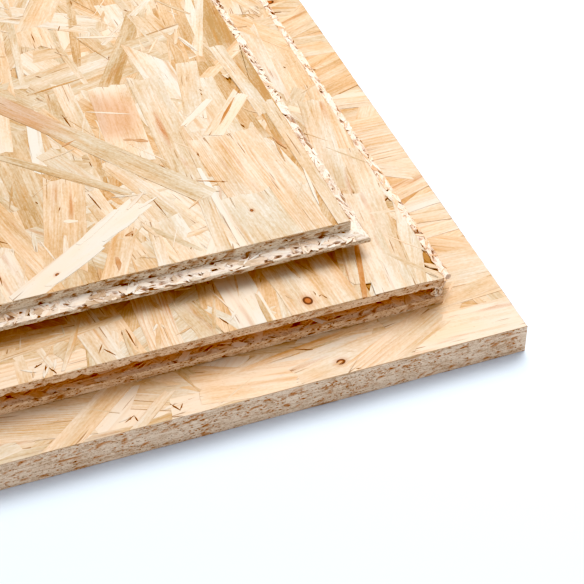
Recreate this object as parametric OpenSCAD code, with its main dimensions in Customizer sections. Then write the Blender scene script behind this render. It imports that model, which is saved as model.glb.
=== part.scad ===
// Staggered stack of three oriented strand board (OSB) panels, lying flat.
// The bottom panel is sawn square all round. The two above it have tongues on
// two neighbouring edges and grooves on the other two; the middle one lies
// with its underside up, so that a groove faces the front.
// Front is -Y and up is +Z. The origin is on the floor, in the middle of the
// stack's outline.

/* [Panels] */
// Length of each panel, from front to back, without its tongue
panel_l = 2050; // [600:5:2500]
// Width of each panel, from left to right, without its tongue
panel_w = 675; // [300:5:1250]
// Thickness of each panel
panel_t = 18; // [15:0.5:25]

/* [Tongues] */
// How far a tongue stands out of its shoulders
tongue_l = 8.5; // [6:0.1:10.5]
// Thickness of a tongue at its root
tongue_root_t = 6.6; // [5:0.1:8.5]
// Thickness of a tongue at its nose
tongue_nose_t = 2.8; // [2:0.1:4]
// Radius of a nose's two long edges
nose_r = 0.6; // [0.2:0.1:0.9]

/* [Grooves] */
// Room left over and under a tongue in its groove
groove_side_gap = 0.5; // [0.1:0.05:0.6]
// Room left in front of a tongue's nose in its groove
groove_end_gap = 1; // [0.3:0.1:2]

/* [Stagger] */
// How far the middle panel's front edge is set back from the bottom panel's
middle_set_back = 33.5; // [15:0.5:60]
// How far the top panel's front shoulder is set back from the bottom panel's front edge
top_set_back = 75.5; // [15:0.5:120]
// How far the middle panel's right shoulder is set in from the bottom panel's right edge
middle_set_in = 35; // [15:0.5:60]
// How far the top panel's right shoulder is set in from the bottom panel's right edge
top_set_in = 73; // [15:0.5:120]

/* [Hidden] */

mid_t = panel_t / 2;
groove_mouth_t = tongue_root_t + 2 * groove_side_gap;
groove_floor_t = tongue_nose_t + 2 * groove_side_gap;
groove_l = tongue_l + groove_end_gap;

// Flat steps that a rounded nose edge is made of
arc_steps = 4;
// Length that a section is swept past both ends of a panel, to take its tongues in
sweep_spare = 2 * tongue_l;

// Outline of the whole stack. Its right and front sides are the bottom panel's;
// its left and back sides are those of whichever panel reaches furthest there.
stack_w = panel_w + max(middle_set_in, top_set_in);
stack_l = panel_l + max(middle_set_back + tongue_l, top_set_back);

board_tone = [0.87, 0.72, 0.50];
flipped_board_tone = [0.90, 0.74, 0.50];
square_board_tone = [0.92, 0.77, 0.53];

// ---- Sections ----
// An edge is a list of [distance out of the shoulder, height], from the lower
// face to the upper one.

function unit(v) = v / norm(v);

// Points of the arc of radius r that rounds corner b between a and c.
function rounded(a, b, c, r) =
    let (
        to_a = unit(a - b),
        to_c = unit(c - b),
        half = acos(to_a * to_c) / 2,
        middle = b + unit(to_a + to_c) * r / sin(half),
        from = b + to_a * r / tan(half) - middle,
        to = b + to_c * r / tan(half) - middle,
        first = atan2(from.y, from.x),
        turn = atan2(from.x * to.y - from.y * to.x, from * to)
    )
    [for (i = [0 : arc_steps])
        middle + r * [cos(first + turn * i / arc_steps), sin(first + turn * i / arc_steps)]];

function square_edge() = [[0, 0], [0, panel_t]];

function tongue_edge() =
    let (
        root_low = [0, mid_t - tongue_root_t / 2],
        root_high = [0, mid_t + tongue_root_t / 2],
        nose_low = [tongue_l, mid_t - tongue_nose_t / 2],
        nose_high = [tongue_l, mid_t + tongue_nose_t / 2]
    )
    concat(
        [[0, 0], root_low],
        rounded(root_low, nose_low, nose_high, nose_r),
        rounded(nose_low, nose_high, root_high, nose_r),
        [root_high, [0, panel_t]]
    );

function groove_edge() = [
    [0, 0],
    [0, mid_t - groove_mouth_t / 2],
    [-groove_l, mid_t - groove_floor_t / 2],
    [-groove_l, mid_t + groove_floor_t / 2],
    [0, mid_t + groove_mouth_t / 2],
    [0, panel_t]
];

// The same edge, facing the other way and read from the upper face down.
function opposite(edge) =
    [for (i = [len(edge) - 1 : -1 : 0]) [-edge[i].x, edge[i].y]];

function moved(points, distance) = [for (p = points) [p.x + distance, p.y]];

// Section of a panel of the given span, from its near edge at 0 to its far one.
module section(span, near_edge, far_edge) {
    polygon(concat(moved(far_edge, span), opposite(near_edge)));
}

// ---- Panels ----

// A panel milled on all four edges: what both sections leave standing. It runs
// from its left shoulder at X = 0 and from its front shoulder at Y = 0.
module milled_panel(left_edge, right_edge, front_edge, back_edge) {
    intersection() {
        translate([0, panel_l + sweep_spare, 0])
            rotate([90, 0, 0])
                linear_extrude(panel_l + 2 * sweep_spare)
                    section(panel_w, left_edge, right_edge);
        translate([-sweep_spare, 0, 0])
            rotate([90, 0, 90])
                linear_extrude(panel_w + 2 * sweep_spare)
                    section(panel_l, front_edge, back_edge);
    }
}

// Puts a panel in the stack by how far it is set in and back, on its layer.
module in_stack(set_in, set_back, layer) {
    translate([
        stack_w / 2 - panel_w - set_in,
        -stack_l / 2 + set_back,
        layer * panel_t
    ])
        children();
}

module bottom_panel() {
    color(square_board_tone)
        in_stack(0, 0, 0)
            milled_panel(square_edge(), square_edge(), square_edge(), square_edge());
}

module middle_panel() {
    color(flipped_board_tone)
        in_stack(middle_set_in, middle_set_back, 1)
            milled_panel(groove_edge(), tongue_edge(), groove_edge(), tongue_edge());
}

module top_panel() {
    color(board_tone)
        in_stack(top_set_in, top_set_back, 2)
            milled_panel(groove_edge(), tongue_edge(), tongue_edge(), groove_edge());
}

bottom_panel();
middle_panel();
top_panel();
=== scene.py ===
"""Looks of a staggered stack of three oriented strand board panels.

Each panel is one solid in the frame. Here it is replaced by what the eye sees of it: a core with
milled or sawn edges, and the strands that lie pressed into its two faces.
"""

import itertools
import logging
import math
from dataclasses import dataclass, field, replace
from enum import Enum
from typing import Iterable, Sequence

import bpy
import numpy as np
from mathutils import Euler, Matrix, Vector


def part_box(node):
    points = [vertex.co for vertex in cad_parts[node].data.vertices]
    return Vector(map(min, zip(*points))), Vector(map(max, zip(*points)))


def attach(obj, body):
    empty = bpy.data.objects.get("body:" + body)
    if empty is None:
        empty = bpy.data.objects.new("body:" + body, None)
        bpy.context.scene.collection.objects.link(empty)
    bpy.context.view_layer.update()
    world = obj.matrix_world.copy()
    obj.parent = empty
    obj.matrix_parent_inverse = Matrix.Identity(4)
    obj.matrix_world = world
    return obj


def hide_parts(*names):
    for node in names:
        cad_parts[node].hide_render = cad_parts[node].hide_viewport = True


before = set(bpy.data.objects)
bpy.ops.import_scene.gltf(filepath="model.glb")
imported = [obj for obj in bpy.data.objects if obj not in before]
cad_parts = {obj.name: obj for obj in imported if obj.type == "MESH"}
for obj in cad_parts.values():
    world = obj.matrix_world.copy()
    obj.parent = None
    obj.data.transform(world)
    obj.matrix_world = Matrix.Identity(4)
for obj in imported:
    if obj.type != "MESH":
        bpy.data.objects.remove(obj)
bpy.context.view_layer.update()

log = logging.getLogger("osb_stack")

MM = 0.001

# How strands lie on each other. A face is full, and hardly rises any more, after FULL_PILE layers.
FULL_PILE = 9
SET_BACK_STEP = 0.008 * MM
SET_BACK_LIFT = 0.03
LAID_SKIN = 0.04 * MM

# A knot wider than this is only a resin stain, and a strand without one has it far away.
STAIN_R = 10 * MM
NO_KNOT = (90.0, 90.0, 0.0)


# ---- Numbers that repeat the same way on every run ----


def lattice_noise(points: np.ndarray, seed: int) -> np.ndarray:
    """Smooth noise with one bump or hollow for each unit of length.

    Args:
        points: N by 3 places, already divided by the size of a bump.
        seed: which of the many noises to use.

    Returns:
        N values from -1 to 1.
    """
    cell = np.floor(points).astype(np.int64)
    inside = points - cell
    weight = inside * inside * (3 - 2 * inside)
    total = np.zeros(len(points))
    for corner in itertools.product((0, 1), repeat=3):
        at = cell + np.array(corner)
        key = at[:, 0] * 374761393 + at[:, 1] * 668265263 + at[:, 2] * 1440662683
        key = (key + seed * 97531) & 0xFFFFFFFF
        key = ((key ^ (key >> 13)) * 1274126177) & 0xFFFFFFFF
        value = (key ^ (key >> 16)) / 2147483648.0 - 1
        total += value * np.where(corner, weight, 1 - weight).prod(axis=1)
    return total


def smooth_step(low: float, high: float, value: np.ndarray) -> np.ndarray:
    """0 below low, 1 above high and a smooth rise between them."""
    part = np.clip((value - low) / (high - low), 0, 1)
    return part * part * (3 - 2 * part)


# ---- Meshes ----


@dataclass
class MeshMaker:
    """Collects points, faces and values at the points, and makes one object of them."""

    name: str
    points: list = field(default_factory=list)
    faces: list = field(default_factory=list)
    finish: list = field(default_factory=list)
    values: dict = field(default_factory=dict)

    def add(self, points: Sequence, faces: Iterable, finish: int = 0, **values: Sequence) -> None:
        """Adds points and the faces between them.

        Args:
            points: places in metres.
            faces: lists of numbers of those points.
            finish: which of the object's materials the faces take.
            values: for each named attribute, one vector for each point.
        """
        first = len(self.points)
        self.points.extend(points)
        for face in faces:
            self.faces.append([first + number for number in face])
            self.finish.append(finish)
        for name, vectors in values.items():
            self.values.setdefault(name, []).extend(vectors)

    def make(self, materials: Sequence[bpy.types.Material]) -> bpy.types.Object:
        """Makes the object, links it to the scene and gives it its materials."""
        mesh = bpy.data.meshes.new(self.name)
        mesh.from_pydata([tuple(point) for point in self.points], [], self.faces)
        mesh.polygons.foreach_set("material_index", self.finish)
        for name, vectors in self.values.items():
            attribute = mesh.attributes.new(name, "FLOAT_VECTOR", "POINT")
            attribute.data.foreach_set("vector", np.array(vectors, np.float32).ravel())
        for material in materials:
            mesh.materials.append(material)
        mesh.update()
        made = bpy.data.objects.new(self.name, mesh)
        bpy.context.scene.collection.objects.link(made)
        return made


# ---- Materials ----

# What an input of a node takes: another node's output, a number, or the numbers of a vector or colour.
Value = bpy.types.NodeSocket | float | tuple


class Shader:
    """Adds nodes to the tree of one material or one node group."""

    def __init__(self, tree: bpy.types.NodeTree) -> None:
        """Takes the tree that the nodes go into."""
        self.tree = tree

    def node(self, kind: str, inputs: dict | None = None, **settings: object) -> bpy.types.Node:
        """Adds a node.

        Args:
            kind: the node's type in Blender.
            inputs: a value or another node's output for each named or numbered input.
            settings: the node's own settings.

        Returns:
            The new node.
        """
        made = self.tree.nodes.new(kind)
        for name, value in settings.items():
            setattr(made, name, value)
        self.feed(made, inputs or {})
        return made

    def feed(self, node: bpy.types.Node, inputs: dict) -> None:
        """Gives each named or numbered input of a node a value or another node's output."""
        for key, value in inputs.items():
            if isinstance(value, bpy.types.NodeSocket):
                self.tree.links.new(value, node.inputs[key])
            else:
                node.inputs[key].default_value = value

    def math(self, operation: str, *operands: Value, clamp: bool = False) -> bpy.types.NodeSocket:
        """The result of a Math node."""
        inputs = dict(enumerate(operands))
        return self.node("ShaderNodeMath", inputs, operation=operation, use_clamp=clamp).outputs[0]

    def plus(self, first: Value, second: Value, clamp: bool = False) -> bpy.types.NodeSocket:
        """The sum of two values."""
        return self.math("ADD", first, second, clamp=clamp)

    def minus(self, first: Value, second: Value) -> bpy.types.NodeSocket:
        """The first value less the second."""
        return self.math("SUBTRACT", first, second)

    def times(self, first: Value, second: Value, clamp: bool = False) -> bpy.types.NodeSocket:
        """The product of two values."""
        return self.math("MULTIPLY", first, second, clamp=clamp)

    def scaled(
        self, value: Value, factor: Value, added: Value, clamp: bool = False
    ) -> bpy.types.NodeSocket:
        """A value times a factor, with something added."""
        return self.math("MULTIPLY_ADD", value, factor, added, clamp=clamp)

    def rise(self, value: Value, low: float, high: float) -> bpy.types.NodeSocket:
        """0 below low, 1 above high and a smooth rise between them."""
        inputs = {0: value, 1: low, 2: high, 3: 0.0, 4: 1.0}
        return self.node("ShaderNodeMapRange", inputs, interpolation_type="SMOOTHSTEP").outputs[0]

    def mix(self, part: Value, first: Value, second: Value, blend: str = "MIX") -> bpy.types.NodeSocket:
        """A colour that goes from first to second as part goes from 0 to 1."""
        inputs = {0: part, 6: first, 7: second}
        return self.node("ShaderNodeMix", inputs, data_type="RGBA", blend_type=blend).outputs[2]

    def stretch(self, vector: Value, scale: tuple) -> bpy.types.NodeSocket:
        """A vector multiplied by one number for each axis."""
        return self.node("ShaderNodeVectorMath", {0: vector, 1: scale}, operation="MULTIPLY").outputs[0]

    def noise(
        self, vector: Value, scale: tuple, detail: float = 2.0, rough: float = 0.5
    ) -> bpy.types.NodeSocket:
        """Noise from 0 to 1, with as many bumps to a metre along each axis as the scale says."""
        inputs = {"Vector": self.stretch(vector, scale), "Scale": 1.0, "Detail": detail, "Roughness": rough}
        return self.node("ShaderNodeTexNoise", inputs).outputs[0]

    def swing(
        self, vector: Value, scale: tuple, detail: float = 2.0, rough: float = 0.5
    ) -> bpy.types.NodeSocket:
        """The same noise from -0.5 to 0.5."""
        return self.minus(self.noise(vector, scale, detail, rough), 0.5)

    def parts(self, vector: Value) -> tuple:
        """The three numbers of a vector."""
        return tuple(self.node("ShaderNodeSeparateXYZ", {0: vector}).outputs)

    def attribute(self, name: str) -> bpy.types.NodeSocket:
        """The vector that a mesh holds at its points under a name."""
        return self.node("ShaderNodeAttribute", attribute_name=name).outputs["Vector"]


def new_group(name: str, takes: dict, gives: dict) -> tuple:
    """Makes an empty node group.

    Args:
        name: the group's name.
        takes: kind of socket for each input's name.
        gives: kind of socket for each output's name.

    Returns:
        The group, its shader, its input node and its output node.
    """
    group = bpy.data.node_groups.new(name, "ShaderNodeTree")
    for direction, sockets in (("INPUT", takes), ("OUTPUT", gives)):
        for label, kind in sockets.items():
            group.interface.new_socket(label, in_out=direction, socket_type=f"NodeSocket{kind}")
    shader = Shader(group)
    return group, shader, shader.node("NodeGroupInput"), shader.node("NodeGroupOutput")


def build_grain_group() -> bpy.types.NodeTree:
    """Wood of one strand: growth rings, fibres, resin and a knot, in the strand's own directions."""
    takes = {
        "Grain": "Vector", "Tone": "Vector", "Knot": "Vector",
        "Pale": "Color", "Middle": "Color", "Deep": "Color", "Ring": "Color", "Resin": "Color",
    }
    group, sh, given, result = new_group("strand_grain", takes, {"Colour": "Color", "Height": "Float"})
    get = given.outputs
    grain = get["Grain"]
    along, across, seed = sh.parts(grain)
    shade, warmth, rings = sh.parts(get["Tone"])
    chance = sh.node("ShaderNodeTexWhiteNoise", {"W": seed}, noise_dimensions="1D").outputs["Color"]
    chance_a, chance_b, chance_c = sh.parts(chance)

    # Growth rings: lines round a pith that lies far to one side or near the strand.
    bend = sh.swing(grain, (14, 30, 1), 1.0)
    jitter = sh.swing(grain, (9, 420, 29), 2.0)
    side = sh.scaled(chance_a, 0.11, -0.055)
    off = sh.scaled(bend, 0.009, sh.minus(across, side))
    off = sh.scaled(jitter, 0.0016, off)
    ahead = sh.plus(along, sh.scaled(chance_b, 0.2, -0.1))
    lean = sh.times(ahead, sh.scaled(chance_c, 0.06, 0.02))
    reach = sh.math("SQRT", sh.plus(sh.math("POWER", off, 2.0), sh.math("POWER", lean, 2.0)))
    spacing = sh.scaled(chance_c, 0.0016, 0.0013)
    turn = sh.math("FRACT", sh.math("DIVIDE", reach, spacing))
    line = sh.times(sh.math("POWER", turn, 1.8), sh.rise(turn, 1.0, 0.88))
    fade = sh.rise(sh.noise(grain, (22, 110, 3), 3.0), 0.34, 0.66)
    line = sh.times(sh.times(line, rings), sh.scaled(fade, 1.1, 0.1))

    # Fibres and slow drifts of tone.
    drift = sh.swing(grain, (20, 90, 5), 2.0)
    fibre = sh.swing(grain, (70, 1100, 7), 3.0, 0.6)
    hair = sh.swing(grain, (260, 3600, 9), 1.0)
    vein = sh.swing(grain, (26, 480, 25), 3.0, 0.6)
    crumb = sh.swing(grain, (420, 900, 27), 2.0, 0.6)

    tone = sh.plus(shade, sh.times(drift, 1.1))
    tone = sh.plus(tone, sh.times(vein, 0.85))
    tone = sh.plus(tone, sh.times(crumb, 0.75))
    tone = sh.plus(tone, sh.times(fibre, 0.7), clamp=True)
    lower = sh.mix(sh.times(tone, 2.0, clamp=True), get["Deep"], get["Middle"])
    upper_part = sh.scaled(tone, 2.0, -1.0, clamp=True)
    colour = sh.mix(upper_part, lower, get["Pale"])
    blush = sh.swing(grain, (24, 70, 23), 2.0)
    warm = sh.scaled(blush, 2.2, warmth, clamp=True)
    tint = sh.mix(warm, (0.96, 0.985, 1.02, 1), (1.06, 0.94, 0.86, 1))
    colour = sh.mix(1.0, colour, tint, "MULTIPLY")
    band = sh.rise(sh.noise(grain, (13, 190, 21), 3.0, 0.6), 0.52, 0.74)
    band = sh.times(band, sh.scaled(chance_a, 0.55, 0.05))
    line = sh.math("MAXIMUM", sh.times(line, 0.38), band)
    colour = sh.mix(sh.math("MINIMUM", line, 0.9), colour, get["Ring"])

    # Resin streaks on some strands, and short dark flecks on all of them.
    streak = sh.rise(sh.noise(grain, (18, 170, 11), 2.0), 0.58, 0.80)
    streak = sh.times(streak, sh.rise(chance_b, 0.5, 0.95))
    colour = sh.mix(sh.times(streak, 0.7), colour, get["Resin"])
    fleck = sh.rise(sh.noise(grain, (330, 1500, 13), 2.0), 0.715, 0.78)
    colour = sh.mix(sh.times(fleck, 0.5), colour, get["Resin"])

    # A knot: a dark rim round an orange heart, with a stain that fades outwards.
    # A weak one is only the stain.
    knot_u, knot_v, knot = sh.parts(get["Knot"])
    wide = sh.node("ShaderNodeCombineXYZ", {0: sh.times(knot_u, 0.8), 1: knot_v}).outputs[0]
    far = sh.node("ShaderNodeVectorMath", {0: wide}, operation="LENGTH").outputs["Value"]
    far = sh.plus(far, sh.times(drift, 0.9))
    colour = sh.mix(sh.times(sh.rise(far, 2.6, 0.9), 0.32), colour, get["Resin"])
    whole = sh.rise(knot, 0.6, 0.9)
    rim = sh.times(sh.rise(far, 1.15, 0.95), sh.rise(far, 0.45, 0.75))
    rim = sh.times(rim, whole)
    heart = sh.times(sh.rise(far, 0.95, 0.6), whole)
    colour = sh.mix(sh.times(heart, 0.8), colour, get["Resin"])
    colour = sh.mix(sh.times(rim, 0.9), colour, (0.10, 0.035, 0.018, 1))

    height = sh.plus(sh.times(fibre, 0.8), sh.times(hair, 0.4))
    height = sh.minus(height, sh.times(fleck, 0.6))
    height = sh.plus(height, sh.times(line, 0.25))
    sh.tree.links.new(colour, result.inputs["Colour"])
    sh.tree.links.new(height, result.inputs["Height"])
    return group


def build_sawn_group() -> bpy.types.NodeTree:
    """A cut through the board: thin layers of cut strands, pores and torn pits.

    Its place is a vector of the way along the edge and the way up it, in metres.
    """
    takes = {"Place": "Vector", "Light": "Color", "Dark": "Color", "Pit": "Color", "Pits": "Float"}
    group, sh, given, result = new_group("sawn_edge", takes, {"Colour": "Color", "Height": "Float"})
    get = given.outputs
    place = get["Place"]
    warp = sh.node("ShaderNodeTexNoise", {"Vector": sh.stretch(place, (60, 200, 1)), "Scale": 1.0})
    warp = sh.stretch(warp.outputs[1], (0.004, 0.0012, 0))
    bent = sh.node("ShaderNodeVectorMath", {0: place, 1: warp}, operation="ADD").outputs[0]

    # Cut strands: long flat cells, each with a tone of its own, and shorter ones among them.
    cells = sh.node("ShaderNodeTexVoronoi", {"Vector": sh.stretch(bent, (110, 1250, 1)), "Scale": 1.0})
    crumbs = sh.node("ShaderNodeTexVoronoi", {"Vector": sh.stretch(bent, (680, 1900, 6)), "Scale": 1.0})
    crumb_a, crumb_b, crumb_c = sh.parts(crumbs.outputs["Color"])
    layers = sh.noise(bent, (60, 1500, 2), 3.0, 0.6)
    blotch = sh.noise(place, (60, 160, 3), 2.0)
    grit = sh.noise(place, (1300, 2100, 4), 2.0, 0.7)
    tone = sh.scaled(sh.parts(cells.outputs["Color"])[0], 0.30, 0.62)
    tone = sh.plus(tone, sh.scaled(layers, 1.9, -0.95))
    tone = sh.plus(tone, sh.scaled(crumb_a, 0.36, -0.18))
    tone = sh.plus(tone, sh.scaled(blotch, 0.9, -0.45))
    tone = sh.plus(tone, sh.scaled(grit, 1.6, -0.8), clamp=True)
    colour = sh.mix(tone, get["Dark"], get["Light"])

    # Orange-brown specks, which gather in patches, and open pores painted almost black: painted shade
    # inside the pores.
    crowd = sh.noise(place, (45, 130, 7), 2.0)
    few = sh.scaled(crowd, -1.3, 1.58)
    few = sh.minus(few, sh.times(get["Pits"], 0.15))
    speck = sh.rise(sh.minus(crumb_b, few), 0.0, 0.05)
    speck = sh.times(speck, sh.rise(crumbs.outputs["Distance"], 0.65, 0.3))
    strength = sh.scaled(crumb_c, 0.7, 0.3)
    colour = sh.mix(sh.times(speck, strength), colour, get["Pit"])
    flake = sh.times(sh.rise(crumb_b, 0.16, 0.06), 0.55)
    colour = sh.mix(flake, colour, get["Light"])
    hole_noise = sh.noise(bent, (480, 1250, 5), 2.0, 0.6)
    hole_edge = sh.minus(0.735, sh.times(get["Pits"], 0.10))
    hole = sh.rise(sh.minus(hole_noise, hole_edge), 0.0, 0.035)
    colour = sh.mix(sh.times(hole, 0.9), colour, (0.09, 0.035, 0.012, 1))
    height = sh.plus(sh.times(layers, 0.8), sh.times(grit, 0.5))
    height = sh.minus(height, sh.scaled(speck, 0.6, hole))
    sh.tree.links.new(colour, result.inputs["Colour"])
    sh.tree.links.new(height, result.inputs["Height"])
    return group


def new_material(name: str) -> tuple:
    """Makes a material with only its output and Principled nodes.

    Returns:
        The material, its shader helper and its Principled node.
    """
    material = bpy.data.materials.new(name)
    material.use_nodes = True
    material.node_tree.nodes.clear()
    shader = Shader(material.node_tree)
    surface = shader.node("ShaderNodeBsdfPrincipled")
    shader.node("ShaderNodeOutputMaterial", {"Surface": surface.outputs[0]})
    return material, shader, surface


@dataclass(frozen=True)
class Relief:
    """How a surface's relief shows, and how rough it is between and on its ridges."""

    strength: float
    depth: float
    rough: float
    smoother: float
    specular: float

    def dress(self, sh: Shader, surface: bpy.types.Node, colour: Value, height: Value) -> None:
        """Gives a surface its colour, its bumps and its gloss.

        Args:
            sh: the material's shader helper.
            surface: its Principled node.
            colour: its colour.
            height: its relief.
        """
        bump = sh.node(
            "ShaderNodeBump", {"Strength": self.strength, "Distance": self.depth, "Height": height}
        )
        sh.feed(surface, {
            "Base Color": colour, "Normal": bump.outputs[0],
            "Roughness": sh.scaled(height, -self.smoother, self.rough),
        })
        surface.inputs["Specular IOR Level"].default_value = self.specular


@dataclass(frozen=True)
class StrandFinish:
    """Wood of the strands in one panel's faces."""

    name: str
    pale: tuple
    middle: tuple
    deep: tuple
    ring: tuple = (0.56, 0.27, 0.085, 1)
    resin: tuple = (0.46, 0.14, 0.03, 1)
    # Colour of the painted shade in crevices, splits and cracks between strands.
    gap: tuple = (0.25, 0.10, 0.03, 1)
    relief: Relief = Relief(strength=0.5, depth=0.12 * MM, rough=0.55, smoother=0.12, specular=0.4)

    def build(self, grain: bpy.types.NodeTree) -> bpy.types.Material:
        """Makes the material from the shared grain."""
        material, sh, surface = new_material(self.name)
        place, tone = sh.attribute("grain"), sh.attribute("tone")
        wood = sh.node("ShaderNodeGroup", {
            "Grain": place, "Tone": tone, "Knot": sh.attribute("knot"),
            "Pale": self.pale, "Middle": self.middle, "Deep": self.deep,
            "Ring": self.ring, "Resin": self.resin,
        }, node_tree=grain)
        # Dark lines along the strands' open edges, broken into patches: painted shade of the crevices
        # between strands.
        rim, half = sh.parts(sh.attribute("rim"))[:2]
        patchy = sh.noise(place, (110, 170, 17))
        rim = sh.times(rim, sh.rise(patchy, 0.42, 0.62))
        colour = wood.outputs["Colour"]

        # Broken ends: paler fibres, with dark splits that run in from the end; the splits' darkness is
        # painted shade inside them.
        from_end = sh.minus(half, sh.math("ABSOLUTE", sh.parts(place)[0]))
        near_end = sh.rise(from_end, 11 * MM, 0.0)
        split = sh.noise(place, (30, 800, 19), 1.0)
        split = sh.rise(sh.scaled(near_end, 0.10, split), 0.72, 0.77)
        colour = sh.mix(sh.times(near_end, 0.3), colour, self.pale)
        colour = sh.mix(sh.times(split, 0.6), colour, self.gap)
        # Painted shade along the open edges of the plate.
        colour = sh.mix(sh.times(rim, 0.75), colour, self.gap)
        # Strands of shade below zero are cracks, coloured as painted shade of a gap between strands.
        colour = sh.mix(sh.rise(sh.parts(tone)[0], -0.1, -0.6), colour, self.gap)
        self.relief.dress(sh, surface, colour, wood.outputs["Height"])
        return material


@dataclass(frozen=True)
class EdgeFinish:
    """A panel's sawn or milled edge."""

    name: str
    light: tuple
    dark: tuple
    # pit colours the orange-brown specks and also the painted shade in the torn pits.
    pit: tuple
    pits: float
    tongue: tuple = (0.86, 0.745, 0.67, 1)
    groove: tuple = (0.84, 0.52, 0.31, 1)
    relief: Relief = Relief(strength=0.8, depth=0.35 * MM, rough=0.8, smoother=0.1, specular=0.15)

    def build(self, sawn: bpy.types.NodeTree) -> bpy.types.Material:
        """Makes the material from the shared cut through the board."""
        material, sh, surface = new_material(self.name)
        place = sh.attribute("grain")
        cut = sh.node("ShaderNodeGroup", {
            "Place": place, "Light": self.light, "Dark": self.dark, "Pit": self.pit, "Pits": self.pits,
        }, node_tree=sawn)
        depth, tongue, groove = sh.parts(sh.attribute("rim"))
        patchy = sh.noise(place, (160, 520, 9), 3.0)
        tongue = sh.times(tongue, sh.rise(patchy, 0.28, 0.52))
        groove = sh.times(groove, sh.rise(patchy, 0.25, 0.60))
        colour = sh.mix(sh.times(tongue, 0.75), cut.outputs["Colour"], self.tongue)
        colour = sh.mix(sh.times(groove, 0.65), colour, self.groove)
        # Torn pits darkened towards the pit colour, as deep as they are torn: painted shade inside them.
        colour = sh.mix(sh.times(depth, 0.85, clamp=True), colour, self.pit)
        self.relief.dress(sh, surface, colour, cut.outputs["Height"])
        return material


@dataclass(frozen=True)
class FloorFinish:
    """Plain matt white studio floor."""

    name: str = "studio_floor"
    colour: tuple = (0.77, 0.815, 0.865, 1)

    def build(self) -> bpy.types.Material:
        """Makes the material, with a trace of mottling."""
        material, sh, surface = new_material(self.name)
        place = sh.node("ShaderNodeTexCoord").outputs["Object"]
        mottle = sh.noise(place, (6, 6, 6), 2.0)
        darker = tuple(0.985 * channel for channel in self.colour[:3]) + (1,)
        sh.feed(surface, {"Base Color": sh.mix(mottle, darker, self.colour)})
        surface.inputs["Roughness"].default_value = 0.9
        surface.inputs["Specular IOR Level"].default_value = 0.1
        return material


# ---- Panels ----


class Side(Enum):
    """The four edges of a panel, with the way each faces."""

    FRONT = (0, -1)
    RIGHT = (1, 0)
    BACK = (0, 1)
    LEFT = (-1, 0)


class EdgeKind(Enum):
    """How an edge was cut."""

    SQUARE = "square"
    TONGUE = "tongue"
    GROOVE = "groove"


@dataclass(frozen=True)
class EdgeProfile:
    """Sizes of the tongues and grooves, as on the solid model."""

    tongue_l: float
    tongue_root_t: float = 6.6 * MM
    tongue_nose_t: float = 2.8 * MM
    nose_r: float = 0.6 * MM
    side_gap: float = 0.5 * MM
    end_gap: float = 1.0 * MM
    sawn_rows: int = 19
    slope_rows: int = 7
    lip_rows: int = 5
    hair: float = 0.02 * MM

    def reach(self, kind: EdgeKind, off_middle: float) -> float:
        """How far an edge stands out of its shoulder.

        Args:
            kind: how the edge was cut.
            off_middle: height over or under the middle of the panel's thickness.

        Returns:
            A length out of the shoulder, negative into a groove.
        """
        off = abs(off_middle)
        if kind is EdgeKind.TONGUE:
            root, nose = self.tongue_root_t / 2, self.tongue_nose_t / 2
            if off >= root:
                return 0.0
            slope = self.tongue_l * min(1.0, (root - off) / (root - nose))
            eased = self.nose_r * max(0.0, 1 - max(0.0, nose - off) / self.nose_r) ** 2
            return min(slope, self.tongue_l - eased * 0.5)
        if kind is EdgeKind.GROOVE:
            mouth = self.tongue_root_t / 2 + self.side_gap
            floor = self.tongue_nose_t / 2 + self.side_gap
            depth = self.tongue_l + self.end_gap
            return -depth * min(1.0, max(0.0, (mouth - off) / (mouth - floor)))
        return 0.0

    def heights(self, half: float, milled: bool) -> list:
        """Heights off the middle at which the edge gets a row of points, from low to high."""
        if not milled:
            return list(np.linspace(-half, half, self.sawn_rows))
        mouth = self.tongue_root_t / 2 + self.side_gap
        root = self.tongue_root_t / 2
        floor = self.tongue_nose_t / 2 + self.side_gap
        nose = self.tongue_nose_t / 2
        upper = [0.0, nose * 0.6, nose]
        upper += list(np.linspace(nose, root, self.slope_rows)[1:])
        upper += [floor, mouth, root + self.hair, mouth + self.hair]
        upper += list(np.linspace(mouth, half, self.lip_rows)[1:])
        upper = sorted(set(round(value, 7) for value in upper))
        return [-value for value in reversed(upper[1:])] + upper


class Look(Enum):
    """Tones a strand can be given by name: shade, warmth and strength of its rings."""

    PALE = (1.12, 0.30, 0.0)
    BONE = (1.40, 0.20, 0.0)
    BLEACHED = (0.66, 0.0, 0.0)
    CREAM = (0.74, 0.45, 0.40)
    STRAW = (0.68, 0.35, 0.60)
    STRIPED = (0.78, 0.55, 1.5)
    TAN = (0.50, 0.05, 0.20)
    PINK = (0.92, 0.75, 0.25)
    ORANGE = (0.64, 0.80, 1.2)
    RED = (0.02, 1.20, 1.3)
    RUSSET = (0.36, 1.20, 0.4)
    # CRACK gives a dark plate in the colour of painted shade, where a gap between strands lies.
    CRACK = (-0.60, 1.0, 0.0)


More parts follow.
